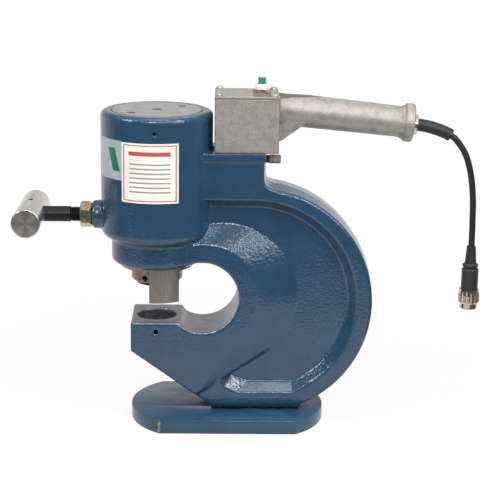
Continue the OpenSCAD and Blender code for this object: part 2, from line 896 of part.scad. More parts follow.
// A point on the grip's axis, at a distance from the box, dropped square to the axis
function grip_point(along, drop) =
  [box_end + along * cos(handle_tilt) - drop * sin(handle_tilt),
   shelf_z + handle_h - along * sin(handle_tilt) - drop * cos(handle_tilt)];

module at_lid_screws() {
  for (x = [box_x + lid_inset, box_end - lid_inset],
       y = [-box_w / 2 + lid_inset, box_w / 2 - lid_inset])
    translate([x, y, 0]) children();
}

module at_box_bolts() {
  for (x = box_bolt_at, y = [-box_bolt_y, box_bolt_y]) translate([x, y, 0]) children();
}

module on_grip_axis() {
  translate([box_end, 0, handle_z]) rotate([0, 90 + handle_tilt, 0]) children();
}

// The grip: root flare, tapered barrel, neck ring and end flange, with a rib under the root
module grip() {
  intersection() {
    union() {
      on_grip_axis() {
        translate([0, 0, -8]) cylinder(r1 = handle_r + 8, r2 = handle_r, h = 20);
        translate([0, 0, -8]) cylinder(r1 = handle_r, r2 = handle_tip_r, h = handle_l + 8);
        rotate_extrude() translate([0, handle_l - 4])
          edge_profile(handle_tip_r + 1.6, 0, 6, 1.5, 1.5);
        rotate_extrude() translate([0, handle_l])
          edge_profile(flange_r, 0, flange_t, 2.5, 2.5);
      }
      slab(rib_w) polygon([[box_end - 1, handle_z], [box_end - 1, handle_z - rib_h],
                           [box_end + 3.5, handle_z - rib_h + 1],
                           [box_end + rib_l, handle_z - rib_end_h], [box_end + rib_l, handle_z]]);
    }
    translate([box_end - box_wall + 0.5, -box_w / 2, shelf_z])
      cube([handle_l + flange_t + 20, box_w, box_h]);
  }
}

module switch_box() {
  color([0.66, 0.64, 0.6]) difference() {
    union() {
      difference() {
        translate([box_x, -box_w / 2, shelf_z]) cube([box_l, box_w, box_h]);
        translate([box_x + box_wall, -box_w / 2 + box_wall, shelf_z + box_floor_t])
          cube([box_l - 2 * box_wall, box_w - 2 * box_wall, box_h]);
      }
      intersection() {
        at_lid_screws() translate([0, 0, shelf_z]) cylinder(r = post_r, h = box_h);
        translate([box_x, -box_w / 2, shelf_z]) cube([box_l, box_w, box_h]);
      }
      grip();
    }
    at_lid_screws() translate([0, 0, lid_top - lid_screw_l - 1])
      cylinder(r = lid_screw_r, h = lid_screw_l + 2);
    at_box_bolts() translate([0, 0, shelf_z - 1]) cylinder(r = box_bolt_r + loose, h = 10);
    on_grip_axis() translate([0, 0, -box_wall - 6])
      cylinder(r = cable_way_r, h = handle_l + flange_t + 20);
  }
}

module box_bolts() {
  color([0.5, 0.5, 0.45]) at_box_bolts() translate([0, 0, shelf_z + box_floor_t]) {
    translate([0, 0, -box_bolt_l]) cylinder(r = box_bolt_r, h = box_bolt_l);
    hex(box_bolt_af, box_bolt_head_t, 1);
  }
}

module box_lid() {
  color([0.7, 0.68, 0.63]) translate([0, 0, box_top]) difference() {
    translate([box_x, -box_w / 2, 0]) cube([box_l, box_w, lid_t]);
    at_lid_screws() translate([0, 0, -1]) cylinder(r = lid_screw_r + loose, h = lid_t + 2);
    translate([switch_x, switch_y, -1]) cylinder(r = barrel_r + loose, h = lid_t + 2);
  }
}

module lid_screws() {
  color([0.72, 0.62, 0.3]) at_lid_screws() translate([0, 0, lid_top]) {
    difference() {
      rotate_extrude() edge_profile(lid_head_r, 0, lid_head_t, 1.8);
      for (a = [0, 90]) rotate([0, 0, a + 20]) translate([-2.6, -0.5, lid_head_t - 1.6])
        cube([5.2, 1, 2]);
    }
    translate([0, 0, -lid_screw_l]) cylinder(r = lid_screw_r, h = lid_screw_l + 0.5);
  }
}

module earth_stud() {
  color([0.5, 0.48, 0.4]) bar_x(earth_x - earth_grip + 2, earth_z, earth_r,
                                earth_grip + earth_washer_t + earth_nut_l - 3);
}

module earth_washer() {
  color([0.42, 0.36, 0.28]) difference() {
    bar_x(earth_x, earth_z, earth_washer_r, earth_washer_t);
    bar_x(earth_x - 1, earth_z, earth_r, earth_washer_t + 2);
  }
}

module earth_nut() {
  color([0.72, 0.62, 0.3]) difference() {
    translate([earth_x + earth_washer_t, 0, earth_z]) rotate([0, 90, 0])
      hex(earth_nut_af, earth_nut_l, 1);
    bar_x(earth_x + earth_washer_t - 1, earth_z, earth_r, earth_nut_l + 2);
  }
}

// ---- push button ----

module switch_gasket() {
  color([0.4, 0.1, 0.08]) translate([switch_x, switch_y, lid_top]) difference() {
    translate([-gasket_l / 2, -gasket_w / 2 + 1, 0]) cube([gasket_l, gasket_w, gasket_t]);
    translate([0, 0, -1]) cylinder(r = barrel_r + loose, h = gasket_t + 2);
  }
}

module switch_body() {
  color([0.1, 0.1, 0.1]) translate([switch_x, switch_y, 0]) {
    difference() {
      union() {
        cylinder_from(box_top - 3, boot_z, barrel_r);
        translate([-block_w / 2, -block_w / 2, box_top - block_h])
          cube([block_w, block_w, block_h]);
      }
      cylinder_from(boot_z - button_travel - 3, boot_z + 1, button_r + running);
    }
  }
}

module switch_nut() {
  color([0.75, 0.75, 0.73]) translate([switch_x, switch_y, lid_top + gasket_t]) difference() {
    hex(switch_nut_af, switch_nut_t, 0.8);
    translate([0, 0, -1]) cylinder(r = barrel_r, h = switch_nut_t + 2);
  }
}

// The clear rubber boot: a bell with a thin wall, open below
module switch_boot() {
  color([0.9, 0.9, 0.88, 0.4]) translate([switch_x, switch_y, boot_z]) rotate_extrude()
    difference() {
      boot_2d(boot_r, boot_tip_r, boot_h);
      translate([0, -eps]) boot_2d(boot_r - boot_wall, boot_tip_r - boot_wall, boot_h - boot_wall);
    }
}

module boot_2d(r, tip, h) {
  polygon([[0, 0], [r, 0], [r, 0.25 * h], [tip + 0.4, 0.45 * h], [tip, h - 1], [tip - 1, h],
           [0, h]]);
}

module switch_button() {
  color([0.05, 0.5, 0.3]) translate([switch_x, switch_y, boot_z - 2.5]) rotate_extrude()
    edge_profile(button_r, 0, boot_h + 2.5 - boot_wall - clear, 1);
}

// ---- cable sleeve, cord and plug ----

module gland_ring() {
  color([0.8, 0.8, 0.8]) on_grip_axis() translate([gland_drop, 0, handle_l + flange_t])
    rotate_extrude() edge_profile(gland_r, 0, gland_t, 0.8);
}

module cable_sleeve() {
  color([0.07, 0.07, 0.08])
    translate([sleeve_from[0] - sleeve_bend_r * sin(handle_tilt), 0,
               sleeve_from[1] - sleeve_bend_r * cos(handle_tilt)])
      rotate([90, 0, 0]) rotate([0, 0, 90 - handle_tilt - sleeve_bend])
        rotate_extrude(angle = sleeve_bend) translate([sleeve_bend_r, 0]) circle(sleeve_r);
}

module cord() {
  color([0.07, 0.07, 0.09])
    swept_tube([for (p = CORD) [p[0], 0, p[1]]], cord_r, cord_sides, [0, 1, 0]);
}

module heat_shrink() {
  color([0.08, 0.08, 0.09]) translate([plug_x, 0, plug_top - shrink_l])
    cylinder(r1 = shrink_r, r2 = shrink_top_r, h = shrink_l);
}

// The plug's rubber body: clamp bulge, neck and barrel
module plug_shell() {
  base = plug_top - shrink_l;
  color([0.09, 0.09, 0.1]) translate([plug_x, 0, 0]) rotate_extrude()
    polygon([[0, base], [shrink_r + 0.5, base], [plug_r - 0.6, base - 2.2],
             [plug_r - 0.6, base - 3.8], [plug_r - 2.6, body_top + 0.6], [plug_r - 1.2, body_top],
             [plug_r, body_top - 1.5], [plug_r, ring_top - 1], [0, ring_top - 1]]);
}

module coupling_ring() {
  fluted = ring_l - skirt_l;
  color([0.72, 0.68, 0.62]) translate([plug_x, 0, ring_top - ring_l - 1 - clear]) difference() {
    rotate_extrude() polygon([[0, 0], [skirt_r - 1, 0], [skirt_r, 1], [skirt_r, skirt_l],
      [coupling_r - 1.5, skirt_l], [coupling_r, skirt_l + 2], [coupling_r, ring_l - 8],
      [coupling_r - 1.2, ring_l], [0, ring_l]]);
    for (k = [0:flutes - 1]) rotate([0, 0, 360 * k / flutes])
      translate([coupling_r + 1.5, 0, skirt_l + 2]) cylinder(r = flute_r, h = fluted, $fn = 32);
    translate([0, 0, -1]) cylinder(r = mouth_r, h = ring_l - ring_web + 1);
    cylinder(r = insert_r + running, h = ring_l + 1);
  }
}

// The insert that carries the pins, with the lip that keeps the coupling ring on
module contact_insert() {
  lip_top = ring_top - 1 - clear - ring_web - running;
  color([0.15, 0.15, 0.15]) translate([plug_x, 0, 0]) {
    cylinder_from(ring_top - 1 - insert_l, ring_top - 1, insert_r);
    cylinder_from(ring_top - 1 - insert_l, lip_top, insert_r + insert_lip);
  }
}

module contact_pins() {
  color([0.8, 0.65, 0.3]) translate([plug_x, 0, ring_top - 1 - insert_l - pin_l])
    for (k = [0:pins - 1]) rotate([0, 0, 360 * k / pins]) translate([pin_at, 0, 0])
      cylinder(r = pin_r, h = pin_l);
}

frame_casting();
base_plate();
foot_screws();
cylinder_cap();
cap_seal();
cap_set_screw();
ram();
piston_seal();
wear_ring();
return_spring();
guide_bush();
wiper();
stripper();
stripper_screws();
punch_retainer();
punch_set_screw();
die_set_screw();
t_bar();
t_grip();
lock_nut();
grip_screw();
switch_box();
box_bolts();
box_lid();
lid_screws();
earth_stud();
earth_washer();
earth_nut();
switch_gasket();
switch_body();
switch_nut();
switch_boot();
switch_button();
gland_ring();
cable_sleeve();
cord();
heat_shrink();
plug_shell();
coupling_ring();
contact_insert();
contact_pins();
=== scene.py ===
# %% [markdown]
# # A bench hydraulic punch, dressed for the camera
# The machine is a glossy blue casting in the shape of a C. The head on the left holds a ram that
# pushes a punch into the lower jaw; the box on the right is bare cast aluminium with a push button,
# a grip and a short cord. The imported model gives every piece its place, so this lesson adds only
# what the eye needs: cast edges, finishes, a thread, stickers, a soft cord, light and a camera.

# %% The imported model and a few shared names
import json
import math

import bpy
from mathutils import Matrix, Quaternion, Vector


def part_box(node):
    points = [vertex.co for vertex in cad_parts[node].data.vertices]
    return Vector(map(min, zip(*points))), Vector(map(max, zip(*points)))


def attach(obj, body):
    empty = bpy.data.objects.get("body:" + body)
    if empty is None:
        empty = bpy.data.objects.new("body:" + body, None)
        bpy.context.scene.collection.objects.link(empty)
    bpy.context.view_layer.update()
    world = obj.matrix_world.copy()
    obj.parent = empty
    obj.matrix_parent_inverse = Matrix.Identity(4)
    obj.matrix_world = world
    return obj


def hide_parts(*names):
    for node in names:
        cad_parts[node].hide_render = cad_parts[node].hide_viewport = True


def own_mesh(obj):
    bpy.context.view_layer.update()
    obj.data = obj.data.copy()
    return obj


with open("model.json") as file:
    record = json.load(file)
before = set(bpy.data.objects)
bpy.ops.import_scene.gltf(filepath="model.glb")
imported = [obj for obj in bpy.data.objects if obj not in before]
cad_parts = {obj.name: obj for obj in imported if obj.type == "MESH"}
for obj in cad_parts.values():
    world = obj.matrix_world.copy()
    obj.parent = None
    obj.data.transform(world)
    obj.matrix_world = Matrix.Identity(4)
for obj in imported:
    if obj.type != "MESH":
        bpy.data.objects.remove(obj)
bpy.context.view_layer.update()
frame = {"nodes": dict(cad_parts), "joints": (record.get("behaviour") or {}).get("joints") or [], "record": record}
scene = bpy.context.scene
mm = 0.001  # one millimetre in Blender's metres
mounts = {m["name"]: Vector(m["pos_m"]) for m in frame["record"]["mounts"]}
punch_axis = mounts["die_seat"]


def only(obj):
    """Selects one object and makes it active."""
    bpy.ops.object.select_all(action="DESELECT")
    obj.select_set(True)
    bpy.context.view_layer.objects.active = obj


# %% [markdown]
# ## Camera
# The machine is seen from the front, a little above, with a long lens. The camera is set by
# its place, the point it looks at and a small roll, as on a tripod.

# %% Camera
camera_place = Vector((-0.01145, -1.8675, 0.7186))
camera_target = Vector((0.0277, 0, 0.2261))
camera_roll = math.radians(0.86)
camera_view = math.radians(19.1)
camera_reach = 60  # past the far end of the floor
camera = bpy.data.objects.new("camera", bpy.data.cameras.new("camera"))
scene.collection.objects.link(camera)
camera.data.angle = camera_view
camera.location = camera_place
camera.rotation_mode = "QUATERNION"
aim = (camera_target - camera_place).to_track_quat("-Z", "Y")
camera.rotation_quaternion = aim @ Quaternion((0, 0, 1), camera_roll)
camera.data.clip_end = camera_reach
scene.camera = camera
scene.view_settings.view_transform = "Standard"
print("camera", round((camera_target - camera_place).length, 3), "m away")

# %% [markdown]
# ## The cord
# A control cord is a rubber-jacketed cable of about 8 mm. It leaves the sleeve at the grip's end,
# bends over once and hangs straight down into its plug. Its route is a few steps in millimetres
# from the sleeve's end, joined by a smooth line. A curve with a round bevel turns that line into a
# tube, which is then made a plain mesh, so that its true size can be measured.

# %% The cord's route
sleeve_end = (281.737, 380.339)
STEPS = [(0, 0), (6.3, -4.8), (14.8, -15.3), (20.8, -25.6), (25.3, -38), (29.3, -54.3),
         (31.8, -71.3), (33.3, -88.3), (33.8, -105.3), (34.3, -125.3), (34.3, -146)]
cord_radius = 4.1 * mm
route = [Vector((sleeve_end[0] + x, 0, sleeve_end[1] + z)) * mm for x, z in STEPS]


def smooth_route(points, parts=4):
    """Catmull-Rom points through the route, so that the cord has no corners."""
    ends = [2 * points[0] - points[1]] + points + [2 * points[-1] - points[-2]]
    line = []
    for a, b, c, d in zip(ends, ends[1:], ends[2:], ends[3:]):
        for k in range(parts):
            t = k / parts
            line.append(0.5 * (2 * b + (c - a) * t + (2 * a - 5 * b + 4 * c - d) * t * t
                               + (3 * b - a - 3 * c + d) * t ** 3))
    return line + [points[-1]]


cord_line = smooth_route(route)

# %% The cord's curve
cord_curve = bpy.data.curves.new("cord_jacket", "CURVE")
cord_curve.dimensions = "3D"
cord_curve.bevel_depth = cord_radius
cord_curve.bevel_resolution = 6
cord_curve.use_fill_caps = True
cord_spline = cord_curve.splines.new("POLY")
cord_spline.points.add(len(cord_line) - 1)
for point, place in zip(cord_spline.points, cord_line):
    point.co = (*place, 1)
cord_jacket = bpy.data.objects.new("cord_jacket", cord_curve)
scene.collection.objects.link(cord_jacket)
only(cord_jacket)
bpy.ops.object.convert(target="MESH")
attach(cord_jacket, "frame")
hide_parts("cord")
print("cord of", len(cord_line), "points and", len(cord_jacket.data.polygons), "faces")

# %% [markdown]
# ## Helpers for meshes
# A CAD mesh has perfectly sharp edges and loose triangles. Cast and machined parts never do, so a
# copy of the mesh is merged, and its edges are broken in one of two ways: a voxel remesh with
# smoothing for castings, or a small bevel for machined pieces. The CAD nodes stay as they are.

# %% Copying and softening CAD nodes
def cad_copy(node, name):
    """A merged copy of a CAD node's mesh, in the same place."""
    source = frame["nodes"][node]
    piece = bpy.data.objects.new(name, source.data.copy())
    piece.data.materials.clear()
    scene.collection.objects.link(piece)
    only(piece)
    bpy.ops.object.mode_set(mode="EDIT")
    bpy.ops.mesh.select_all(action="SELECT")
    bpy.ops.mesh.remove_doubles(threshold=0.002 * mm)
    bpy.ops.object.mode_set(mode="OBJECT")
    return piece


def apply_modifier(obj, kind, **settings):
    """Adds a modifier, sets it and applies it."""
    only(obj)
    modifier = obj.modifiers.new(kind.lower(), kind)
    for key, value in settings.items():
        setattr(modifier, key, value)
    bpy.ops.object.modifier_apply(modifier=modifier.name)


def cast_skin(node, name, voxel, passes, keep=1.0):
    """A casting's skin: the CAD shape with its edges melted together."""
    piece = cad_copy(node, name)
    apply_modifier(piece, "REMESH", mode="VOXEL", voxel_size=voxel, use_smooth_shade=True)
    apply_modifier(piece, "SMOOTH", factor=0.5, iterations=passes)
    if keep < 1:
        apply_modifier(piece, "DECIMATE", ratio=keep)
        only(piece)
        bpy.ops.object.shade_smooth()
    print(name, len(piece.data.polygons), "faces")
    return piece


def drill(piece, place, direction, radius, depth):
    """Cuts a round hole of the given depth into a piece, from place along direction."""
    way = Vector(direction).normalized()
    bpy.ops.object.select_all(action="DESELECT")
    bpy.ops.mesh.primitive_cylinder_add(vertices=48, radius=radius, depth=2 * depth,
                                        location=place,
                                        rotation=way.to_track_quat("Z", "Y").to_euler())
    bit = bpy.context.active_object
    apply_modifier(piece, "BOOLEAN", object=bit, operation="DIFFERENCE", solver="FAST")
    bpy.data.objects.remove(bit)


def machined(node, name, edge, segments=2):
    """A machined or moulded piece: the CAD shape with its sharp edges broken."""
    piece = cad_copy(node, name)
    only(piece)
    bpy.ops.object.mode_set(mode="EDIT")
    bpy.ops.mesh.select_all(action="SELECT")
    bpy.ops.mesh.dissolve_limited(angle_limit=math.radians(0.5))
    bpy.ops.object.mode_set(mode="OBJECT")
    apply_modifier(piece, "BEVEL", width=edge, segments=segments, limit_method="ANGLE",
                   angle_limit=math.radians(40), harden_normals=False)
    only(piece)
    bpy.ops.object.shade_smooth_by_angle(angle=math.radians(35))
    print(name, len(piece.data.polygons), "faces")
    return piece


def place_piece(piece, material, slot, body="frame", *nodes):
    """Gives a piece its finish, the body it moves with and the CAD nodes it stands for."""
    piece.data.materials.clear()
    piece.data.materials.append(material)
    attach(piece, body)
    if nodes:
        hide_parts(*nodes)


# %% [markdown]
# ## Helpers for materials
# Colours are written as sRGB hex values, as a paint chart gives them, and one function turns
# them linear. Patterns read object coordinates, in metres, so a grain of 2 mm has a scale of 500.

# %% Colours and nodes
def hex_colour(code):
    """An sRGB hex value as the linear colour that Blender mixes with."""
    parts = [int(code[i:i + 2], 16) / 255 for i in (1, 3, 5)]
    return tuple(p / 12.92 if p < 0.04045 else ((p + 0.055) / 1.055) ** 2.4 for p in parts) + (1,)


def add(tree, kind, inputs=None, **settings):
    """Adds a node, with values or links for its inputs."""
    new = tree.nodes.new(kind)
    for key, value in settings.items():
        setattr(new, key, value)
    for key, value in (inputs or {}).items():
        if isinstance(value, bpy.types.NodeSocket):
            tree.links.new(value, new.inputs[key])
        else:
            new.inputs[key].default_value = value
    return new


def new_material(name, **sockets):
    """A material with a Principled shader, its node tree and that shader."""
    material = bpy.data.materials.new(name)
    material.use_nodes = True
    shader = material.node_tree.nodes["Principled BSDF"]
    for key, value in sockets.items():
        shader.inputs[key.replace("_", " ")].default_value = value
    return material, material.node_tree, shader


def wire(tree, shader, **sockets):
    """Links a value to each named socket of the shader."""
    for key, value in sockets.items():
        tree.links.new(value, shader.inputs[key.replace("_", " ")])


def object_point(tree):
    """The shaded point in the piece's own coordinates, in metres."""
    return add(tree, "ShaderNodeTexCoord").outputs["Object"]


def coordinates(tree, vector):
    """The x, y and z of a vector."""
    return add(tree, "ShaderNodeSeparateXYZ", {0: vector}).outputs


def grain(tree, size, detail=3.0, stretch=(1, 1, 1)):
    """Noise whose grains are about size metres wide; stretch lengthens them."""
    mapping = add(tree, "ShaderNodeMapping",
                  {"Vector": object_point(tree), "Scale": [1 / s for s in stretch]})
    return add(tree, "ShaderNodeTexNoise", {"Vector": mapping.outputs["Vector"],
                                            "Scale": 1 / size, "Detail": detail}).outputs["Fac"]


def bump(tree, height, depth, normal=None):
    """A normal bumped by depth metres from a height between 0 and 1."""
    inputs = {"Height": height, "Distance": depth, "Strength": 1.0}
    if normal is not None:
        inputs["Normal"] = normal
    return add(tree, "ShaderNodeBump", inputs).outputs[0]


def ramp(tree, value, *stops):
    """The colour of a ramp through (place, hex colour) stops."""
    new = add(tree, "ShaderNodeValToRGB", {"Fac": value})
    elements = new.color_ramp.elements
    while len(elements) < len(stops):
        elements.new(0.5)
    for element, (place, code) in zip(elements, stops):
        element.position = place
        element.color = hex_colour(code)
    return new.outputs[0]


print("colour helpers ready")


# %% Sums and masks
def remap(tree, value, before, after):
    """A value moved from one pair of limits to another, and held between them."""
    return add(tree, "ShaderNodeMapRange",
               {"Value": value, "From Min": before[0], "From Max": before[1],
                "To Min": after[0], "To Max": after[1]}).outputs[0]


def blend(tree, factor, a, b):
    """Number a where factor is 0 and b where it is 1."""
    return add(tree, "ShaderNodeMix", {0: factor, 2: a, 3: b}).outputs[0]


def math_node(tree, operation, a, b=0.0):
    """One sum of two numbers."""
    return add(tree, "ShaderNodeMath", {0: a, 1: b}, operation=operation).outputs[0]


def mix_colours(tree, factor, a, b):
    """Colour a where factor is 0 and b where it is 1."""
    return add(tree, "ShaderNodeMix", {0: factor, 6: a, 7: b}, data_type="RGBA").outputs[2]


def distance_from_axis(tree, place, centre, drop):
    """How far a point lies from an axis through centre; drop is the coordinate left out."""
    offset = add(tree, "ShaderNodeVectorMath", {0: place, 1: centre}, operation="SUBTRACT")
    keep = [0 if axis == drop else 1 for axis in range(3)]
    flat = add(tree, "ShaderNodeVectorMath", {0: offset.outputs[0], 1: keep},
               operation="MULTIPLY")
    return add(tree, "ShaderNodeVectorMath", {0: flat.outputs[0]}, operation="LENGTH").outputs[1]


def largest(tree, *values):
    """The largest of several values."""
    result = values[0]
    for value in values[1:]:
        result = math_node(tree, "MAXIMUM", result, value)
    return result


def product(tree, *values):
    """The product of several values."""
    result = values[0]
    for value in values[1:]:
        result = math_node(tree, "MULTIPLY", result, value)
    return result


def between(tree, value, low, high):
    """1 where a value lies between two limits."""
    return product(tree, math_node(tree, "GREATER_THAN", value, low),
                   math_node(tree, "LESS_THAN", value, high))


print("mask helpers ready")

# %% [markdown]
# ## Gloss enamel over cast iron
# The frame is sand-cast iron under thick blue enamel. The enamel is glossy, but it follows the
# casting's sandy skin, so highlights break up into grains of 2 to 4 mm. Where a cutter has been,
# the metal is bare: inside the throat, on the jaw's top, in the die seat and round the cap. Each
# of these faces is found by its distance from its own axis and by its height.

# %% Where the cutter has been
throat_centre = Vector((-33.7, 0, 172.5)) * mm
throat_radius = 46.7 * mm
collar_radius = 58.4 * mm
collar_from = 180 * mm  # above this height the collar stands in the throat's circle
jaw_end = 22 * mm  # the jaw's flat ends this far left of the throat's centre
seat_radius = 26 * mm
seat_from = 80 * mm
cap_radius = 59.5 * mm
cap_edge = 1.2 * mm
cut_margin = 0.6 * mm
head_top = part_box("frame_casting")[1].z
jaw_top = mounts["die_seat"].z + 15 * mm


def machined_mask(tree, margin):
    """1 on the faces that were cut after painting, grown by a margin in metres."""
    place = object_point(tree)
    across, _, height = coordinates(tree, place)
    from_throat = distance_from_axis(tree, place, throat_centre, 1)
    from_punch = distance_from_axis(tree, place, punch_axis, 2)
    grown = math_node(tree, "ADD", cut_margin, margin)
    in_throat = math_node(tree, "LESS_THAN", from_throat,
                          math_node(tree, "ADD", grown, throat_radius))
    on_collar = product(tree, math_node(tree, "GREATER_THAN", height, collar_from),
                        math_node(tree, "LESS_THAN", from_punch, collar_radius + 1 * mm))
    throat = product(tree, in_throat, math_node(tree, "SUBTRACT", 1.0, on_collar))
    below = math_node(tree, "LESS_THAN", height, jaw_top + 2 * mm)
    jaw = product(tree, below,
                  math_node(tree, "GREATER_THAN", height,
                            math_node(tree, "SUBTRACT", jaw_top, grown)),
                  math_node(tree, "LESS_THAN", across, throat_centre.x - jaw_end))
    seat = product(tree, below, math_node(tree, "LESS_THAN", from_punch, seat_radius),
                   math_node(tree, "GREATER_THAN", height, seat_from))
    cap_seat = product(tree, math_node(tree, "LESS_THAN", from_punch, cap_radius),
                       math_node(tree, "GREATER_THAN", height, head_top - cap_edge))
    return largest(tree, throat, jaw, seat, cap_seat)


print("jaw top at", round(jaw_top, 4), "head top at", round(head_top, 4))

# %% [markdown]
# The paint's colour drifts a little with its thickness. It has chipped to pale primer along the
# edges that the cutter left: a second mask, grown by up to a millimetre of ragged noise, finds
# them. The die's screw hole is painted near-black as shade, and a small drop of real red paint lies beside it.

# %% Enamel
die_screw_height = 126.6 * mm
red_drop = Vector((-62.5, 0, 118.5)) * mm
front_of = -30 * mm  # spots lie on the jaw's front only


def hole_shade_and_red_drop(tree, colour):
    """The colour with painted shade in the die screw's hole and the drop of red paint."""
    place = object_point(tree)
    front = math_node(tree, "LESS_THAN", coordinates(tree, place)[1], front_of)
    # the first disc is painted shade inside the die screw's hole; the second is a real drop of red paint
    for centre, radius, tint in ((Vector((punch_axis.x, 0, die_screw_height)), 2.9 * mm, "#0E1014"),
                                 (red_drop, 1.5 * mm, "#8A2F33")):
        close = math_node(tree, "LESS_THAN", distance_from_axis(tree, place, centre, 1), radius)
        colour = mix_colours(tree, product(tree, close, front), colour, hex_colour(tint))
    return colour


def frame_enamel():
    """Blue gloss enamel on sand-cast iron, chipped along cut edges and bare where machined."""
    material, tree, shader = new_material("blue_gloss_enamel_on_cast_iron", IOR=1.5,
                                          Specular_IOR_Level=0.68)
    paint = ramp(tree, grain(tree, 35 * mm, 4), (0.3, "#23405A"), (0.72, "#294A65"))
    sand = bump(tree, grain(tree, 3.5 * mm, 1), 0.42 * mm)
    skin = bump(tree, grain(tree, 1.6 * mm, 1), 0.08 * mm, sand)
    scratches = grain(tree, 1.2 * mm, 4, (12, 1, 12))
    metal = ramp(tree, scratches, (0.3, "#7C7A86"), (0.7, "#A9A7A6"))
    bare = machined_mask(tree, 0.0)
    chips = remap(tree, grain(tree, 4 * mm, 5), (0.52, 0.72), (0.15 * mm, 1.0 * mm))
    worn = machined_mask(tree, chips)
    colour = mix_colours(tree, worn, paint, hex_colour("#B9BEC2"))
    colour = hole_shade_and_red_drop(tree, mix_colours(tree, bare, colour, metal))
    wire(tree, shader, Base_Color=colour, Roughness=blend(tree, worn, 0.17, 0.4),
         Metallic=math_node(tree, "MULTIPLY", bare, 0.9), Normal=skin)
    return material


def plate_enamel():
    """The same enamel on flame-cut plate: flatter, with chips at its front left corner."""
    material, tree, shader = new_material("blue_gloss_enamel_on_steel_plate", IOR=1.5,
                                          Roughness=0.24)
    paint = ramp(tree, grain(tree, 50 * mm, 4), (0.35, "#27475F"), (0.68, "#2E546E"))
    corner = distance_from_axis(tree, object_point(tree), Vector((-87.8, -75, 9)) * mm, 2)
    reach = remap(tree, grain(tree, 5 * mm, 5), (0.42, 0.7), (0.0, 4 * mm))
    chipped = math_node(tree, "LESS_THAN", corner, reach)
    colour = mix_colours(tree, chipped, paint, hex_colour("#8B8680"))
    wire(tree, shader, Base_Color=colour, Normal=bump(tree, grain(tree, 20 * mm), 0.5 * mm))
    return material


enamel = frame_enamel()
print("enamels made")

# %% [markdown]
# ## The casting's skin
# A pattern-made casting has a radius on every edge and a fillet in every corner. A fine voxel
# remesh of the CAD shape, smoothed a few times and then thinned out, gives both at once. Two small
# holes that the remesh blurs are drilled again: one for the cap's set screw, one for the die's.

# %% Casting
casting = cast_skin("frame_casting", "casting_skin", 1.6 * mm, 3, 0.4)
head_radius = 71.5 * mm
jaw_face = -43 * mm
cap_screw_height = 390.2 * mm
drill(casting, (punch_axis.x, -head_radius, cap_screw_height), (0, -1, 0), 2.5 * mm, 9 * mm)
drill(casting, (punch_axis.x, jaw_face, die_screw_height), (0, -1, 0), 3 * mm, 12 * mm)
place_piece(casting, enamel, "frame_paint", "frame", "frame_casting")

# %% [markdown]
# ## Base plate
# The plate is flame-cut steel with the same enamel. Its edges are only lightly broken.

# %% Base plate
plate = machined("base_plate", "plate_with_broken_edges", 0.8 * mm)
place_piece(plate, plate_enamel(), "frame_paint", "frame", "base_plate")

# %% [markdown]
# ## Metals
# Every metal is a Principled shader with its own two-tone grain: ground steel is drawn out along
# the leg, cast aluminium has a sandy skin, zinc plate a yellow film, nickel a bright worn one.
# Those under a dull skin, such as raw castings and black oxide, are only partly metallic.

# %% Metal finishes
def metal_finish(name, dark, light, rough, size, depth, stretch=(1, 1, 1), metallic=1.0):
    """A metal with a two-tone grain of the given size, and a bump of the given depth."""
    material, tree, shader = new_material(name, Metallic=metallic, Roughness=rough)
    texture = grain(tree, size, 4, stretch)
    wire(tree, shader, Base_Color=ramp(tree, texture, (0.3, dark), (0.7, light)),
         Normal=bump(tree, texture, depth))
    return material


# the lid: raw sand casting, dull and sandy
cast_aluminium = metal_finish("sand_cast_aluminium", "#918D86", "#B7B3AB", 0.5, 1.1 * mm,
                              0.1 * mm, metallic=0.55)
# the cap: faced on a lathe
turned_steel = metal_finish("turned_steel", "#B5B4AF", "#CDCBC5", 0.38, 0.8 * mm, 0.01 * mm,
                            (20, 20, 1))
# the stripper: ground along its leg
ground_leg = metal_finish("ground_tool_steel", "#86827A", "#A39E94", 0.4, 1.2 * mm, 0.01 * mm,
                          (1, 1, 16))
# the ram: hardened, with the brown tint that heat leaves
copper_tint = metal_finish("heat_tinted_steel", "#7A6258", "#A3938A", 0.36, 4 * mm, 0.02 * mm)
# the earth stud's washer: plain steel that has begun to rust
rusty_steel = metal_finish("rust_tinted_steel", "#5A4034", "#8A7460", 0.5, 4 * mm, 0.05 * mm)
# socket screws, spring and bar: blackened steel, under oil
black_oxide = metal_finish("black_oxide_steel", "#17171A", "#26262A", 0.4, 2 * mm, 0.01 * mm,
                           metallic=0.6)
# the lock nut: yellow passivated zinc
yellow_zinc = metal_finish("yellow_zinc_plate", "#9C8E66", "#D6CAA0", 0.26, 4 * mm, 0.01 * mm)
# small fasteners of the box: clear zinc, a little stained
pale_zinc = metal_finish("clear_zinc_plate", "#938C72", "#D9D3BA", 0.3, 3 * mm, 0.02 * mm,
                         metallic=0.6)
# gland and coupling: nickel worn through to its brass in places
nickel = metal_finish("worn_nickel_plate", "#A88A70", "#E6DED4", 0.2, 3.5 * mm, 0.03 * mm)
# guide bush and wear ring
bronze = metal_finish("bearing_bronze", "#8A6A3A", "#B08A50", 0.35, 2 * mm, 0.01 * mm)
# the plug's pins
contact_gold = metal_finish("gilt_brass", "#B8934A", "#D9BC74", 0.25, 2 * mm, 0.005 * mm)
print("metals made")

# %% [markdown]
# ## Rubber and plastic
# The cord, the sleeve and the plug are black but not the same black: the cord's jacket is smooth,
# the sleeve is a little greyer, and the moulded plug has a fine spark-eroded grain.

# %% Rubber and plastic finishes
def polymer(name, dark, light, rough, size, depth, ior=1.5):
    """Moulded rubber or plastic, with a fine grain."""
    material, tree, shader = new_material(name, Roughness=rough, IOR=ior)
    texture = grain(tree, size)
    wire(tree, shader, Base_Color=ramp(tree, texture, (0.3, dark), (0.7, light)),
         Normal=bump(tree, texture, depth))
    return material


# extruded rubber of the cord, and the oil-proof rubber of the cap's seal
jacket_rubber = polymer("black_cord_jacket", "#15151B", "#1E1E26", 0.5, 3 * mm, 0.02 * mm)
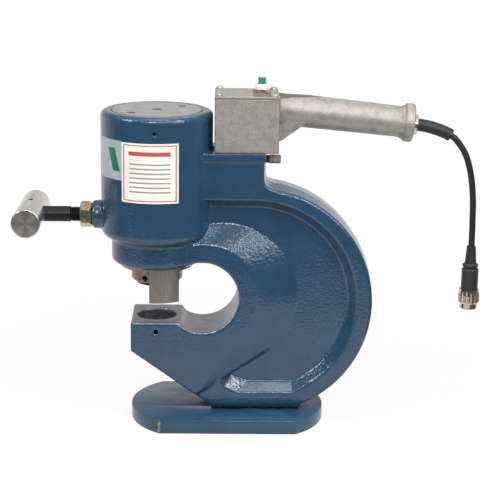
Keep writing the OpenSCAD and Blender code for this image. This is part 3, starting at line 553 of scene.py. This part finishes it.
# the softer tube over the cord, dull with handling
sleeve_rubber = polymer("black_sleeve_rubber", "#1C1C20", "#26262B", 0.55, 4 * mm, 0.03 * mm)
# thin film shrunk on to the plug's neck
shrink_film = polymer("shrunk_black_film", "#1F1F22", "#2B2B2F", 0.5, 2 * mm, 0.05 * mm)
# moulded plug and push-button bodies
plug_plastic = polymer("moulded_black_nylon", "#232326", "#303034", 0.48, 1 * mm, 0.03 * mm)
# the dusty red sheet under the push button
gasket_rubber = polymer("dark_red_gasket_rubber", "#6A5552", "#86706D", 0.6, 2 * mm, 0.03 * mm)
# the piston's seal
seal_blue = polymer("blue_polyurethane_seal", "#1C3A78", "#24488E", 0.4, 4 * mm, 0.01 * mm)
# the button itself, smooth and glossy
green_plastic = polymer("green_button_plastic", "#027246", "#0A8C5C", 0.22, 10 * mm,
                        0.005 * mm, 1.49)


def silicone_boot(milky_below):
    """Silicone rubber: milky where its foot is thick, clear where it covers the button."""
    material, tree, shader = new_material("clear_silicone_boot", Roughness=0.12, IOR=1.41)
    height = coordinates(tree, object_point(tree))[2]
    haze = grain(tree, 4 * mm)
    wire(tree, shader, Base_Color=ramp(tree, haze, (0.3, "#DADADC"), (0.7, "#F2F2F3")),
         Alpha=remap(tree, height, (milky_below - 0.6 * mm, milky_below + 0.6 * mm),
                     (0.94, 0.03)),
         Normal=bump(tree, haze, 0.05 * mm))
    return material


boot_foot = 6.6 * mm
clear_rubber = silicone_boot(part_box("switch_boot")[0].z + boot_foot)
cord_jacket.data.materials.append(jacket_rubber)
print("polymers made")

# %% [markdown]
# ## T-handle
# The bar is black oxide steel. It is plain where the hand pushes it and threaded into the nut. A
# thread is a zigzag profile wound round the axis: the Screw modifier turns it once and shifts it
# by one pitch, so each tooth meets its neighbour.

# %% Threaded bar
bar_low, bar_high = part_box("t_bar")
bar_axis = Vector((0, 0, (bar_low.z + bar_high.z) / 2))
bar_radius = 10 * mm
crest, root, core_radius = 9.7 * mm, 8.6 * mm, 8.4 * mm
pitch = 2 * mm
thread_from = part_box("lock_nut")[0].x - 12 * mm
turns = int((bar_high.x - thread_from) / pitch) - 1


def wound(name, profile, shift, steps=48):
    """A surface made by turning (x, radius) points once round the X axis, shifted as it turns."""
    mesh = bpy.data.meshes.new(name)
    mesh.from_pydata([(x, 0, radius) for x, radius in profile],
                     [(i, i + 1) for i in range(len(profile) - 1)], [])
    piece = bpy.data.objects.new(name, mesh)
    scene.collection.objects.link(piece)
    apply_modifier(piece, "SCREW", axis="X", steps=steps, render_steps=steps,
                   screw_offset=shift, use_merge_vertices=shift == 0,
                   merge_threshold=0.01 * mm, use_normal_calculate=True)
    return piece


plain = [(bar_low.x, 0), (bar_low.x, bar_radius), (thread_from - 1.2 * mm, bar_radius),
         (thread_from, root), (thread_from + 1.6 * mm, 8.5 * mm)]
teeth = []
for turn in range(turns):
    start = thread_from + turn * pitch
    teeth += [(start, root), (start + 0.9 * mm, crest), (start + 1.15 * mm, crest)]
teeth.append((thread_from + turns * pitch, root))
core = [(thread_from, core_radius), (bar_high.x, core_radius), (bar_high.x, 0)]
bar_parts = [wound("bar_plain", plain, 0), wound("bar_thread", teeth, pitch, 64),
             wound("bar_core", core, 0)]
bpy.ops.object.select_all(action="DESELECT")
for part in bar_parts:
    part.select_set(True)
bpy.context.view_layer.objects.active = bar_parts[0]
bpy.ops.object.join()
threaded_bar = bar_parts[0]
threaded_bar.name = "threaded_bar"
for vertex in threaded_bar.data.vertices:
    vertex.co += bar_axis
only(threaded_bar)
bpy.ops.object.mode_set(mode="EDIT")
bpy.ops.mesh.select_all(action="SELECT")
bpy.ops.mesh.remove_doubles(threshold=0.01 * mm)
bpy.ops.mesh.normals_make_consistent(inside=False)
bpy.ops.object.mode_set(mode="OBJECT")
bpy.ops.object.shade_smooth_by_angle(angle=math.radians(35))
place_piece(threaded_bar, black_oxide, "black_steel", "frame", "t_bar")
print("thread of", turns, "turns, bar", len(threaded_bar.data.polygons), "faces")

# %% Cross grip and lock nut
grip_low, grip_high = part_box("t_grip")
grip_axis = Vector(((grip_low.x + grip_high.x) / 2, 0, (grip_low.z + grip_high.z) / 2))
screw_centre = sum(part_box("grip_screw"), Vector()) / 2
rings_per_metre = 1800


def turned_bar_end():
    """Bare turned steel with the tool's rings; an hourglass of light and shade is painted on the round end, and
    the screw hole is painted dark as shade.
    """
    material, tree, shader = new_material("bare_turned_steel_bar", Metallic=1.0, Roughness=0.33)
    place = object_point(tree)
    _, along, height = coordinates(tree, place)
    rings = add(tree, "ShaderNodeCombineXYZ",
                {0: distance_from_axis(tree, place, grip_axis, 1), 1: along}).outputs[0]
    fine = add(tree, "ShaderNodeTexNoise",
               {"Vector": rings, "Scale": rings_per_metre, "Detail": 3.0}).outputs["Fac"]
    steel = ramp(tree, fine, (0.3, "#C6C4BC"), (0.7, "#ECEAE3"))
    offset = add(tree, "ShaderNodeVectorMath", {0: place, 1: grip_axis}, operation="SUBTRACT")
    side = coordinates(tree, offset.outputs[0])
    angle = math_node(tree, "ARCTAN2", side[2], side[0])
    # painted light and shade: the round end darkens in four lobes round its axis, leaving an hourglass of painted
    # highlight between them
    painted_sheen_lobes = math_node(tree, "COSINE", math_node(tree, "MULTIPLY", angle, 4.0))
    on_end = math_node(tree, "GREATER_THAN", math_node(tree, "ABSOLUTE", along),
                       grip_high.y - 0.6 * mm)
    shade = product(tree, on_end, remap(tree, painted_sheen_lobes, (-1.0, 1.0), (0.0, 0.55)))
    colour = mix_colours(tree, shade, steel, hex_colour("#938B80"))
    near_screw = distance_from_axis(tree, place, screw_centre, 2)
    # painted shade: a near-black patch in the set screw's hole, where shade falls inside the recess
    painted_hole_shade = product(tree, math_node(tree, "LESS_THAN", near_screw, 3.1 * mm),
                         math_node(tree, "GREATER_THAN", height, grip_axis.z))
    colour = mix_colours(tree, painted_hole_shade, colour, hex_colour("#101012"))
    wire(tree, shader, Base_Color=colour, Normal=bump(tree, fine, 0.01 * mm))
    return material


cross_grip = machined("t_grip", "cross_grip_with_broken_edges", 1.0 * mm, 3)
place_piece(cross_grip, turned_bar_end(), "steel", "frame", "t_grip")
nut = machined("lock_nut", "lock_nut_with_broken_edges", 0.4 * mm)
place_piece(nut, yellow_zinc, "zinc", "frame", "lock_nut")

# %% [markdown]
# ## Switch box and grip
# The box and its hollow grip are one sand casting, so they get the same remesh as the frame, with
# smaller voxels, and a stained skin. The lid is a separate flat casting, so a thin dark seam stays
# between them.

# %% Box, grip and lid
def seamed_aluminium(seam):
    """Stained sand-cast aluminium, with the dark line of a joint that holds a little dirt."""
    material, tree, shader = new_material("sand_cast_aluminium_with_joint", Metallic=0.55,
                                          Roughness=0.5)
    texture = grain(tree, 1.1 * mm, 4)
    colour = ramp(tree, texture, (0.3, "#918D86"), (0.7, "#B7B3AB"))
    height = coordinates(tree, object_point(tree))[2]
    joint = between(tree, height, seam - 1.3 * mm, seam + 0.4 * mm)
    colour = mix_colours(tree, joint, colour, hex_colour("#66615A"))
    stain = remap(tree, grain(tree, 12 * mm, 4), (0.45, 0.7), (0.0, 0.55))
    colour = mix_colours(tree, stain, colour, hex_colour("#7E7A73"))
    wire(tree, shader, Base_Color=colour, Normal=bump(tree, texture, 0.1 * mm))
    return material


box_aluminium = seamed_aluminium(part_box("box_lid")[0].z)
box_casting = cast_skin("switch_box", "switch_box_skin", 1.1 * mm, 2)
place_piece(box_casting, box_aluminium, "cast_aluminium", "frame", "switch_box")
lid = machined("box_lid", "lid_with_broken_edges", 0.7 * mm)
place_piece(lid, cast_aluminium, "cast_aluminium", "frame", "box_lid")

# %% [markdown]
# ## Return spring
# Inside the head a coil spring lifts the ram, and it shortens when the ram comes down. Here its
# coils get a mesh of their own and the ram's stroke is read from the slide joint; the coils are
# not closed up.

# %% Return spring
coils = cad_copy("return_spring", "return_spring_coils")
place_piece(coils, black_oxide, "dark_steel", "frame", "return_spring")
slide = next(joint for joint in frame["joints"] if joint["name"] == "ram_slide")
stroke = max(abs(limit) for limit in slide["range_m"])
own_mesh(coils)

# %% [markdown]
# ## Stickers
# Two plain stickers follow the cylinder: a silver band with a green stroke, and a white label with
# a thin red frame, a red field and rows of thin lines. They carry no words, so their fields are
# drawn in the material from each sticker's own UV map.

# %% Sticker shapes
def sticker(name, left, right, low, high, lift):
    """A sheet wrapped on the cylinder between two angles and two heights."""
    bpy.ops.object.select_all(action="DESELECT")
    bpy.ops.mesh.primitive_grid_add(x_subdivisions=40, y_subdivisions=24, size=1,
                                    calc_uvs=True)
    sheet = bpy.context.active_object
    sheet.name = name
    around = head_radius + lift
    for vertex in sheet.data.vertices:
        angle = math.radians(left + (right - left) * (vertex.co.x + 0.5))
        height = low + (high - low) * (vertex.co.y + 0.5)
        vertex.co = (punch_axis.x + around * math.sin(angle), -around * math.cos(angle), height)
    bpy.ops.object.shade_smooth()
    return sheet


def sticker_film(name, dark, light):
    """A glossy film with a faint two-tone field; its tree, shader, colour, U and V."""
    material, tree, shader = new_material(name, Roughness=0.32, IOR=1.45)
    uv = coordinates(tree, add(tree, "ShaderNodeTexCoord").outputs["UV"])
    wire(tree, shader, Normal=bump(tree, grain(tree, 6 * mm, 2), 0.12 * mm))
    field = ramp(tree, grain(tree, 20 * mm), (0.3, dark), (0.7, light))
    return material, tree, shader, field, uv[0], uv[1]


def box_of(tree, u, v, left, right, low, high):
    """1 inside a rectangle of the sticker, given in shares of its width and height."""
    return product(tree, between(tree, v, low, high), between(tree, u, left, right))


print("sticker shapes ready, radius", round(head_radius, 4))

# %% Silver band and white label
film, tree, shader, silver, u, v = sticker_film("silver_band_film", "#A3AAB3", "#B4BAC1")
slanted = math_node(tree, "ADD", u, math_node(tree, "MULTIPLY", v, 0.3))
stroke = box_of(tree, slanted, v, 0.78, 1.02, 0.22, 0.8)
wire(tree, shader, Base_Color=mix_colours(tree, stroke, silver, hex_colour("#157A52")))
band = sticker("silver_band", -78, -35, 329 * mm, 379 * mm, 0.15 * mm)
place_piece(band, film, "white_film", "frame")

film, tree, shader, white, u, v = sticker_film("white_label_film", "#EDE8DC", "#F6F3EA")
outer = box_of(tree, u, v, 0.035, 0.965, 0.03, 0.97)
inner = box_of(tree, u, v, 0.055, 0.945, 0.047, 0.953)
frame_line = math_node(tree, "SUBTRACT", outer, inner)
heading = box_of(tree, u, v, 0.14, 0.86, 0.79, 0.86)
row = math_node(tree, "FRACT", math_node(tree, "MULTIPLY", v, 13.0))
rows = product(tree, between(tree, row, 0.3, 0.62), box_of(tree, u, v, 0.15, 0.86, 0.155, 0.72))
printed = mix_colours(tree, rows, white, hex_colour("#9A9490"))
printed = mix_colours(tree, largest(tree, frame_line, heading), printed, hex_colour("#C4515A"))
wire(tree, shader, Base_Color=printed)
label = sticker("white_label", -35, 24.5, 302.5 * mm, 378 * mm, 0.3 * mm)
place_piece(label, film, "white_film", "frame")
print("stickers wrapped")

# %% Finishes for the CAD nodes that stay
node_finish = {
    "foot_screws": black_oxide, "cylinder_cap": turned_steel, "cap_seal": jacket_rubber,
    "cap_set_screw": black_oxide, "ram": copper_tint, "piston_seal": seal_blue,
    "wear_ring": bronze, "guide_bush": bronze,
    "wiper": sleeve_rubber, "stripper": ground_leg, "stripper_screws": black_oxide,
    "punch_retainer": black_oxide, "punch_set_screw": black_oxide,
    "die_set_screw": black_oxide, "grip_screw": black_oxide,
    "box_bolts": pale_zinc, "lid_screws": pale_zinc,
    "earth_stud": pale_zinc, "earth_washer": rusty_steel, "earth_nut": pale_zinc,
    "switch_gasket": gasket_rubber, "switch_body": plug_plastic, "switch_nut": nickel,
    "switch_boot": clear_rubber, "switch_button": green_plastic, "gland_ring": nickel,
    "cable_sleeve": sleeve_rubber, "heat_shrink": shrink_film, "plug_shell": plug_plastic,
    "coupling_ring": nickel, "contact_insert": plug_plastic, "contact_pins": contact_gold,
}
for name, finish in node_finish.items():
    mesh = frame["nodes"][name].data
    mesh.materials.clear()
    mesh.materials.append(finish)
print(len(node_finish), "nodes finished")

# %% [markdown]
# ## Floor, light and air
# The machine stands on a white sheet. Straight views and mirrored ones see it glow white: nine
# tenths near the machine, where the last tenth is paper that carries the shadow, and wholly
# further out, where it meets the white air without an edge. Light that bounces off it finds only
# greyer paper. It ends 0.6 m in front, so upright gloss faces mirror it only low down.

# %% Floor
floor_left, floor_right = -0.85, 0.38
floor_front, floor_back = -0.6, 29.4
glow_near, glow_far = 0.3, 0.8
bpy.ops.object.select_all(action="DESELECT")
bpy.ops.mesh.primitive_plane_add(size=1, location=((floor_left + floor_right) / 2,
                                                   (floor_front + floor_back) / 2, 0))
floor = bpy.context.active_object
floor.name = "floor"
bpy.ops.transform.resize(value=(floor_right - floor_left, floor_back - floor_front, 1))
bpy.ops.object.transform_apply(location=True, scale=True)
sheet, tree, shader = new_material("white_paper", Roughness=0.9, Specular_IOR_Level=0.0)
seen = add(tree, "ShaderNodeLightPath").outputs
wire(tree, shader, Base_Color=mix_colours(tree, seen["Is Diffuse Ray"], hex_colour("#F4F4F4"),
                                          hex_colour("#9C9C9C")))
shown = largest(tree, seen["Is Camera Ray"], seen["Is Glossy Ray"], seen["Is Transmission Ray"])
spread = distance_from_axis(tree, object_point(tree), Vector((0.05, 0, 0)), 2)
share = remap(tree, spread, (glow_near, glow_far), (0.9, 1.0))
glow = add(tree, "ShaderNodeEmission", {"Color": (1, 1, 1, 1), "Strength": 1.0}).outputs[0]
surface = add(tree, "ShaderNodeMixShader", {0: product(tree, shown, share),
                                            1: shader.outputs[0], 2: glow}).outputs[0]
tree.links.new(surface, tree.nodes["Material Output"].inputs[0])
floor.data.materials.append(sheet)
print("floor laid")

# %% [markdown]
# Two softboxes on the left and right shape the round head. One overhead lights the foot's bevel,
# and a small one beside it makes that bevel's left end glint. A long thin strip over the camera
# draws bright lines along the rounded edges, and a weak lamp behind lights the back.

# %% Lamps
LAMPS = [  # name, place, aimed at, width and height, watts
    ("lamp_left", (-1.35, -0.6, 1.3), (0, 0, 0.2), (0.4, 0.4), 10),
    ("lamp_right", (1.2, -1.2, 1.1), (0, 0, 0.2), (0.8, 0.8), 10),
    ("lamp_above", (-0.05, -0.35, 1.75), (0, 0, 0.2), (1.0, 0.6), 6.5),
    ("lamp_glint", (0.8, -0.72, 1.38), (0, 0, 0.1), (0.3, 0.3), 5),
    ("lamp_front", (0, -1.7, 1.25), (0, 0, 0.2), (1.3, 0.2), 17),
    ("lamp_back", (0.3, 1.2, 1.9), (0, 0, 0.2), (0.8, 0.5), 3.5),
]
for name, place, target, size, power in LAMPS:
    data = bpy.data.lights.new(name, "AREA")
    data.shape = "RECTANGLE"
    data.size, data.size_y = size
    data.energy = power
    lamp = bpy.data.objects.new(name, data)
    lamp.location = place
    lamp.rotation_euler = (Vector(target) - Vector(place)).to_track_quat("-Z", "Y").to_euler()
    lamp.visible_camera = False
    scene.collection.objects.link(lamp)
print(len(LAMPS), "lamps lit")

# %% [markdown]
# The air is white behind the machine and dim in the room in front of it, so that flat gloss faces
# keep their own colour. Mirrored views of it fade with height, then brighten again overhead.
# Seen straight, or through the clear boot, it is plain white.

# %% Air
world = bpy.data.worlds.new("studio")
scene.world = world
world.use_nodes = True
air = world.node_tree
air.nodes.clear()
seen = add(air, "ShaderNodeLightPath").outputs
towards = coordinates(air, add(air, "ShaderNodeTexCoord").outputs["Generated"])
behind = product(air, remap(air, towards[1], (-0.1, 0.6), (0.1, 1.0)),
                 remap(air, towards[2], (0.0, 0.5), (1.0, 0.35)))
overhead = remap(air, towards[2], (0.25, 0.8), (0.0, 0.7))
straight = largest(air, seen["Is Camera Ray"], seen["Is Transmission Ray"])
level = blend(air, seen["Is Glossy Ray"], 0.35, largest(air, behind, overhead))
sky = add(air, "ShaderNodeBackground", {"Color": (1, 1, 1, 1),
                                        "Strength": blend(air, straight, level, 1.0)})
add(air, "ShaderNodeOutputWorld", {"Surface": sky.outputs[0]})
print("air lit")
